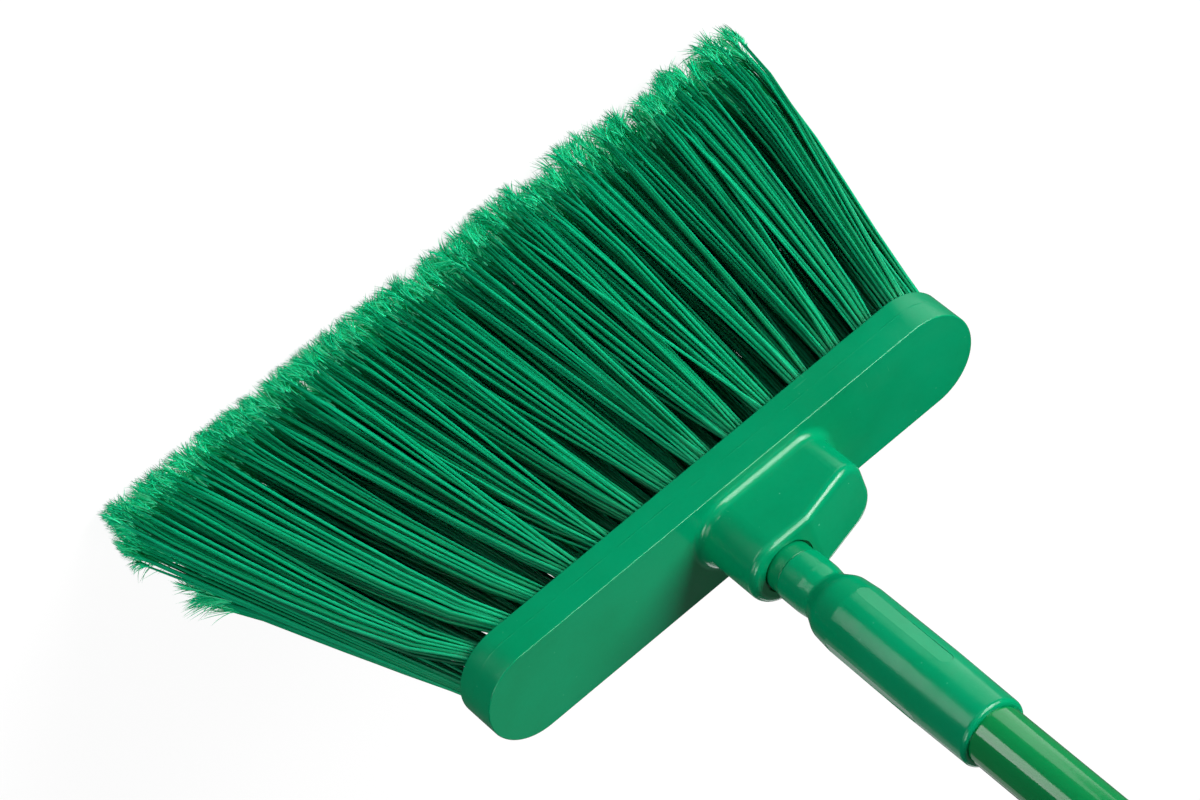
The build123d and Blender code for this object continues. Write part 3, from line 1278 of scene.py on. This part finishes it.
    def build(self) -> List[bpy.types.Object]:
        """Models the filament and the hair once, and copies them into every tuft.

        Returns:
            One finished piece for each tuft.
        """
        rod = self.model_stock("filament", sides=6, cuts=5, taper=1.0)
        hair = self.model_stock("flag_hair", sides=3, cuts=3, taper=0.0)
        pieces = []
        for row in Row:
            for index in range(row.tufts):
                node = f"{row.label}_{index + 1:02d}"
                paths = self.lay_paths(TuftSpot(row, index))
                piece = self.join_up(f"bristles_{node}", rod, hair, paths)
                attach(piece, "head")
                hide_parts(f"tuft_{node}")
                pieces.append(piece)
                log.info("%s: %d filaments", piece.name, row.filaments)
        return pieces

    def join_up(self, name: str, rod: Stock, hair: Stock, paths: FilamentPaths) -> bpy.types.Object:
        """Makes one tuft's piece from its filaments and hairs.

        Args:
            name: The piece's name.
            rod: The modelled filament.
            hair: The modelled hair.
            paths: The bundle's paths.

        Returns:
            The new piece.
        """
        rods, way = self.rods(rod, paths)
        hairs = self.flags(hair, paths)
        points = np.concatenate([rods.reshape(-1, 3), hairs.reshape(-1, 3)])
        points = np.clip(points, box_low + self.skin_gap, box_high - self.skin_gap)
        faces: List[List[int]] = []
        start = 0
        for stock, copies in ((rod, len(rods)), (hair, len(hairs))):
            for _ in range(copies):
                faces += [[start + i for i in face] for face in stock.faces]
                start += len(stock.points)
        mesh = bpy.data.meshes.new(name)
        mesh.from_pydata(points.tolist(), [], faces)
        self.mark(mesh, way, hair, paths)
        mesh.shade_smooth()
        piece = bpy.data.objects.new(name, mesh)
        bpy.context.scene.collection.objects.link(piece)
        return piece

    def mark(self, mesh: bpy.types.Mesh, way: np.ndarray, hair: Stock, paths: FilamentPaths) -> None:
        """Marks a tuft's points with what the finish reads: tone, way, depth for painted shade, and flag
        for tip colour and painted glow.

        Args:
            mesh: The tuft's mesh, with the filaments' points first and the hairs' after them.
            way: The way along its path of each filament's points.
            hair: The modelled hair.
            paths: The bundle's paths.
        """
        tip = self.flagging
        filaments, rod_points = way.shape
        hairs = filaments * tip.hairs
        tip_points = tip.hairs * len(hair.points)
        tones = self.chance.random(filaments)
        # painted shade by how far inside the rows each filament stands, weaker on its hairs
        painted_shades = self.depth(paths.roots)
        # flag: tip colour and painted glow, rising near the rod's end and along each hair
        rod_flag = np.clip((way - tip.rod_pale_from) / tip.rod_pale_way, 0, 1) ** 2 * tip.rod_pale
        pale = tip.least_pale + (1 - tip.least_pale) * self.chance.random(hairs) ** tip.pale_skew
        pale = np.repeat(pale, len(hair.points))
        hair_flag = pale + (1 - pale) * tip.pale_gain * np.tile(hair.points[:, 2], hairs)
        for label, rod_values, hair_values in (
            ("tone", np.repeat(tones, rod_points), np.repeat(tones, tip_points)),
            ("way", np.clip(way, 0, 1).ravel(), np.ones(filaments * tip_points)),
            ("depth", np.repeat(painted_shades, rod_points), np.repeat(painted_shades * tip.hair_painted_shade, tip_points)),
            ("flag", rod_flag.ravel(), hair_flag),
        ):
            layer = mesh.attributes.new(label, "FLOAT", "POINT")
            layer.data.foreach_set("value", np.concatenate([rod_values, hair_values]).astype(np.float32))

    def dress(self, pieces: List[bpy.types.Object], shelf: EffectShelf) -> None:
        """Gives every tuft the bristle finish.

        Args:
            pieces: The tufts.
            shelf: The shelf of shared effects.
        """
        material = self.finish.material(shelf)
        for piece in pieces:
            piece.data.materials.append(material)


@dataclass
class BroomHead:
    """The block with its boss, and the staples inside it."""

    block: MouldedPlastic
    staples: StapleWire

    def dress(self, shelf: EffectShelf) -> None:
        """Finishes the block and the staples."""
        dress("broom_block", self.block.material(shelf))
        dress("tuft_anchors", self.staples.material(shelf))


@dataclass
class HandleAssembly:
    """The tip with its collar, the tube and the hang cap."""

    tip: MouldedPlastic
    collar: MouldedPlastic
    tube: PaintedTube
    cap: MouldedPlastic

    def dress(self, shelf: EffectShelf) -> None:
        """Finishes the handle's pieces.

        Args:
            shelf: The shelf of shared effects.
        """
        dress("handle_tip", self.tip.material(shelf))
        dress("tip_collar", self.collar.material(shelf))
        dress("handle_tube", self.tube.material(shelf))
        dress("hang_cap", self.cap.material(shelf))


@dataclass(frozen=True)
class Lamp:
    """A soft panel lamp that looks at one point. The camera never sees it."""

    name: str
    place: Point
    aim: Point
    width: float
    height: float
    watts: float
    gloss_only: bool = False
    roll: float = 0.0

    def hang(self) -> bpy.types.Object:
        """Hangs the lamp.

        Returns:
            The lamp's object.
        """
        light = bpy.data.lights.new(self.name, "AREA")
        light.shape = "RECTANGLE"
        light.size = self.width
        light.size_y = self.height
        light.energy = self.watts
        lamp = bpy.data.objects.new(self.name, light)
        bpy.context.scene.collection.objects.link(lamp)
        lamp.location = self.place
        heading = Vector(self.aim) - Vector(self.place)
        facing = heading.to_track_quat("-Z", "Y") @ Quaternion((0, 0, 1), self.roll)
        lamp.rotation_euler = facing.to_euler()
        lamp.visible_camera = False
        lamp.visible_diffuse = not self.gloss_only
        return lamp


def floor_card(name: str, x: float, y: float, width: float, watts: float, roll: float) -> Lamp:
    """Plans a panel that lies just above the floor and looks up, seen only as a reflection.

    Args:
        name: The lamp's name.
        x: Its place along X.
        y: Its place along Y.
        width: Its width.
        watts: Its power.
        roll: Its turn about the vertical, in radians.

    Returns:
        The lamp.
    """
    above_floor, overhead, depth = 0.003, 1.0, 0.3
    place, aim = (x, y, above_floor), (x, y, overhead)
    return Lamp(name, place, aim, width, depth, watts, gloss_only=True, roll=roll)


@dataclass
class Studio:
    """Pale floor, soft lamps, a white surround and the photograph's camera."""

    lamps: Tuple[Lamp, ...]
    floor_size: float = 12.0
    floor_tone: Colour = paint(84, 84, 84)
    floor_shade: Colour = paint(90, 90, 90)
    floor_cloud_scale: float = 3.0
    floor_rough: float = 0.9
    floor_glow: float = 0.95
    surround: float = 0.03
    mirror_share: float = 0.04
    camera_place: Point = (0.53445, -1.71333, 1.53370)
    camera_right: Point = (-0.751603, 0.264608, 0.604215)
    camera_up: Point = (-0.615249, -0.611502, -0.497529)
    camera_back: Point = (0.237828, -0.745686, 0.622406)
    lens: float = 174.98
    sensor: float = 36.0

    def seen(self, sheet: NodeSheet) -> Socket:
        """Tells rays that look at the surround from rays that gather its light.

        Args:
            sheet: The tree to add the nodes to.

        Returns:
            One for camera and transmission rays, less for glossy rays, and zero for others.
        """
        path = sheet.add("ShaderNodeLightPath")
        mirrored = sheet.times(path.outputs["Is Glossy Ray"], self.mirror_share)
        look = sheet.sum("MAXIMUM", path.outputs["Is Camera Ray"], mirrored)
        return sheet.sum("MAXIMUM", look, path.outputs["Is Transmission Ray"])

    def build_floor(self) -> None:
        """Lays the floor: pale and matt, white to the eye, with the broom's shadow on it."""
        bpy.ops.object.select_all(action="DESELECT")
        bpy.ops.mesh.primitive_plane_add(size=self.floor_size)
        floor = bpy.context.object
        floor.name = "studio_floor"
        material, sheet, shader, place = start_material("pale_floor")
        cloud = sheet.noise(place, self.floor_cloud_scale)
        body = sheet.blend(cloud, self.floor_tone, self.floor_shade)
        sheet.feed_all(
            shader, {"Base Color": body, "Roughness": self.floor_rough, "Specular IOR Level": 0.0}
        )
        glow = sheet.add("ShaderNodeEmission")
        sheet.feed(glow.inputs["Strength"], sheet.times(self.seen(sheet), self.floor_glow))
        both = sheet.add("ShaderNodeAddShader")
        sheet.feed(both.inputs[0], shader.outputs[0])
        sheet.feed(both.inputs[1], glow.outputs[0])
        sheet.feed(material.node_tree.nodes["Material Output"].inputs["Surface"], both.outputs[0])
        floor.data.materials.append(material)

    def build_surround(self) -> None:
        """Makes the world: soft light all round, white where it is seen."""
        world = bpy.data.worlds.new("studio_surround")
        bpy.context.scene.world = world
        world.use_nodes = True
        sheet = NodeSheet(world.node_tree)
        back = world.node_tree.nodes["Background"]
        seen = self.seen(sheet)
        lit = sheet.times(sheet.sum("SUBTRACT", 1.0, seen), self.surround)
        sheet.feed_all(back, {"Color": WHITE, "Strength": sheet.sum("ADD", lit, seen)})

    def build_camera(self) -> None:
        """Sets the camera where the photograph was taken from."""
        view = bpy.data.cameras.new("photograph")
        view.sensor_fit = "HORIZONTAL"
        view.sensor_width = self.sensor
        view.lens = self.lens
        camera = bpy.data.objects.new("photograph", view)
        bpy.context.scene.collection.objects.link(camera)
        axes = Matrix((self.camera_right, self.camera_up, self.camera_back)).transposed()
        camera.matrix_world = Matrix.Translation(self.camera_place) @ axes.to_4x4()
        bpy.context.scene.camera = camera

    def build(self) -> None:
        """Builds the whole studio."""
        bpy.context.scene.view_settings.view_transform = "Standard"
        self.build_floor()
        self.build_surround()
        for lamp in self.lamps:
            lamp.hang()
            log.info("lamp %s", lamp.name)
        self.build_camera()


RUBBED_GREEN = paint(104, 212, 176)
BLOCK_GREEN = MouldedPlastic(
    "block_plastic",
    tone=paint(0, 158, 106),
    shade=paint(0, 148, 96),
    rub=RUBBED_GREEN,
    specular=0.17,
    wear=Wear(speck_share=0.6),
    worn_from=0.197,
    parting_level=0.1845,
)
TIP_GREEN = MouldedPlastic(
    "tip_plastic",
    tone=paint(0, 158, 106),
    shade=paint(0, 148, 96),
    rub=RUBBED_GREEN,
    gloss=0.17,
    specular=0.15,
    wear=Wear(scuff_cover=0.3),
)
COLLAR_GREEN = MouldedPlastic(
    "collar_plastic",
    tone=paint(0, 146, 94),
    shade=paint(0, 134, 82),
    rub=RUBBED_GREEN,
    gloss=0.22,
)
CAP_GREEN = MouldedPlastic(
    "cap_plastic",
    tone=paint(0, 150, 98),
    shade=paint(0, 140, 88),
    rub=RUBBED_GREEN,
    gloss=0.24,
    wear=Wear(scuff_cover=0.4),
)
TUBE_GREEN = PaintedTube(
    "tube_coat",
    tone=paint(0, 142, 76),
    shade=paint(0, 132, 66),
    rub=paint(52, 196, 140),
    metal=paint(196, 186, 170),
    coat_edge=0.3465,
    wear=Wear(
        scuff_scale=30.0,
        scuff_cover=0.26,
        scuff_share=0.2,
        scuff_dulling=0.15,
        scuff_depth=0.15,
        speck_scale=150.0,
        speck_size=0.08,
    ),
)
BRISTLE_GREEN = BristleFibre(
    "bristle_fibre",
    tone=paint(0, 191, 131),
    shade=paint(0, 146, 94),
    light=paint(12, 212, 150),
    # painted shade colour for filaments inside the rows
    painted_shade_colour=paint(0, 28, 16),
    flag=paint(10, 226, 156),
    # colour of the painted glow on the palest split tips
    painted_glow_pale=paint(130, 255, 212),
)
STAPLE_STEEL = StapleWire("staple_wire", tone=paint(176, 172, 164), shade=paint(140, 136, 128))

BRISTLE_AIM: Point = (0.0, 0.0, 0.15)
BLOCK_AIM: Point = (0.0, 0.0, 0.2)
LAMPS = (
    Lamp("key", (-1.165, -0.877, 1.118), BRISTLE_AIM, width=1.0, height=1.0, watts=42.0),
    Lamp("front", (0.2, -1.7, 0.3), BRISTLE_AIM, width=1.5, height=0.7, watts=3.6),
    Lamp("left_fill", (1.42, -0.62, 0.4), BLOCK_AIM, width=0.7, height=0.7, watts=8.4),
    Lamp("back_fill", (-0.2, 1.8, 0.3), BLOCK_AIM, width=1.6, height=0.5, watts=10.0),
    Lamp("edge_card", (-0.6, -0.88, 1.29), BLOCK_AIM, width=0.9, height=1.2, watts=72.0, gloss_only=True),
    Lamp("left_card", (1.1, -0.21, 1.25), BLOCK_AIM, width=0.5, height=0.5, watts=11.0, gloss_only=True),
    floor_card("right_floor_card", -0.416, -0.235, width=0.54, watts=1.2, roll=1.047),
    floor_card("left_floor_card", 0.297, -0.42, width=0.31, watts=1.9, roll=-0.63),
    floor_card("rim_floor_card", 0.19, 0.43, width=0.4, watts=0.22, roll=-2.7),
    Lamp("rear_card", (-0.06, 0.92, 0.92), BLOCK_AIM, width=0.45, height=0.6, watts=0.35, gloss_only=True),
)


def main() -> None:
    """Builds the studio and dresses the broom."""
    logging.basicConfig(level=logging.INFO, format="%(message)s")
    shelf = EffectShelf()
    Studio(LAMPS).build()
    BroomHead(BLOCK_GREEN, STAPLE_STEEL).dress(shelf)
    HandleAssembly(TIP_GREEN, COLLAR_GREEN, TUBE_GREEN, CAP_GREEN).dress(shelf)
    bristles = BristleRows(BRISTLE_GREEN)
    bristles.dress(bristles.build(), shelf)


if __name__ == "__main__":
    main()
